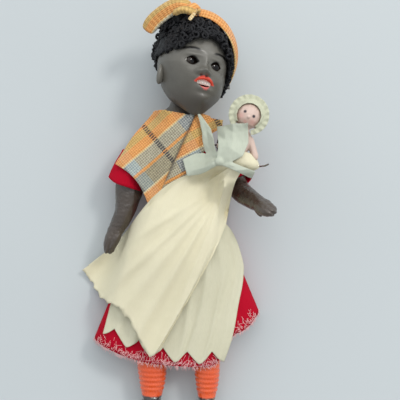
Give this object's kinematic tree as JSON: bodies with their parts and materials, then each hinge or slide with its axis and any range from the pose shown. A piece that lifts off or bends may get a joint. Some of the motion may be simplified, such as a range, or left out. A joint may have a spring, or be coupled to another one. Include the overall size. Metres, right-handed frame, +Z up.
{
  "type": "bisque doll",
  "caption": "Jointed doll with dark bisque socket head, red dress, plaid shawl and headscarf, apron, ribbed stockings and a small baby doll tied to its chest, lying on its back.",
  "frame": {"origin": "on the table under the middle of the hip axis, on the flat back of the skirt, the doll lying on its back as pictured", "axes": "+Z up from the table, the way the doll faces; +Y towards the crown of the head; +X towards the doll's left hand"},
  "size_m": [0.1034, 0.2206, 0.0477],
  "materials": {
    "composition": "varnished dark brown papier-mache",
    "elastic": "woven elastic",
    "stocking": "painted and varnished papier-mache, orange ribbed stocking and black shoe",
    "wire": "plain drawn wire",
    "bisque": "satin fired bisque",
    "card": "plain pressed card",
    "eye_glass": "polished dark glass",
    "plaster": "plaster",
    "enamel": "glossy white",
    "wood": "turned, bare",
    "mohair": "tight-curled mohair",
    "plaid": "checked woven cotton",
    "red_cotton": "plain woven cotton with frayed hem",
    "white_cotton": "plain woven cotton",
    "cream_cotton": "plain woven cotton",
    "pale_ribbon": "soft ribbon",
    "pink_bisque": "satin fired bisque"
  },
  "bodies": {
    "torso": {"torso_front": "composition", "torso_back": "composition", "arm_elastic": "elastic", "neck_elastic": "elastic", "dress_bodice": "red_cotton", "skirt_front": "red_cotton", "skirt_back": "red_cotton", "apron": "white_cotton", "apron_waistband": "white_cotton", "shawl": "plaid", "baby_doll": "pink_bisque", "baby_bonnet": "cream_cotton", "baby_gown_bodice": "cream_cotton", "baby_gown": "cream_cotton", "ribbon_bow": "pale_ribbon", "baby_pin": "wire"},
    "head": {"head_shell": "bisque", "crown_pate": "card", "right_eye": "eye_glass", "right_eye_plaster": "plaster", "left_eye": "eye_glass", "left_eye_plaster": "plaster", "upper_teeth": "enamel", "neck_button": "wood", "neck_stud": "wire", "wig": "mohair", "headscarf_band": "plaid", "headscarf_knot": "plaid"},
    "right_arm": {"right_arm": "composition", "right_arm_stud": "wire", "right_sleeve": "red_cotton"},
    "left_arm": {"left_arm": "composition", "left_arm_stud": "wire", "left_sleeve": "red_cotton"},
    "right_leg": {"right_leg": "stocking", "right_leg_stud": "wire"},
    "left_leg": {"left_leg": "stocking", "left_leg_stud": "wire"}
  },
  "joints": [
    {"name": "head_turn", "type": "hinge", "parent": "torso", "child": "head", "pos_m": [-0.0036, 0.0795, 0.0193], "axis": [0, 1, 0], "range_deg": [-65, 20]},
    {"name": "right_shoulder", "type": "hinge", "parent": "torso", "child": "right_arm", "pos_m": [-0.0176, 0.066, 0.015], "axis": [-1, 0, 0], "range_deg": [0, 110], "deforming": ["shawl"]},
    {"name": "left_shoulder", "type": "hinge", "parent": "torso", "child": "left_arm", "pos_m": [0.0176, 0.066, 0.015], "axis": [-1, 0, 0], "range_deg": [-14, 3], "deforming": ["baby_gown", "shawl"]},
    {"name": "right_hip", "type": "hinge", "parent": "torso", "child": "right_leg", "pos_m": [-0.0066, 0, 0.015], "axis": [-1, 0, 0], "range_deg": [0, 80], "deforming": ["skirt_front", "apron", "baby_gown"]},
    {"name": "left_hip", "type": "hinge", "parent": "torso", "child": "left_leg", "pos_m": [0.0066, 0, 0.015], "axis": [-1, 0, 0], "range_deg": [0, 80], "deforming": ["skirt_front", "apron", "baby_gown"]}
  ]
}
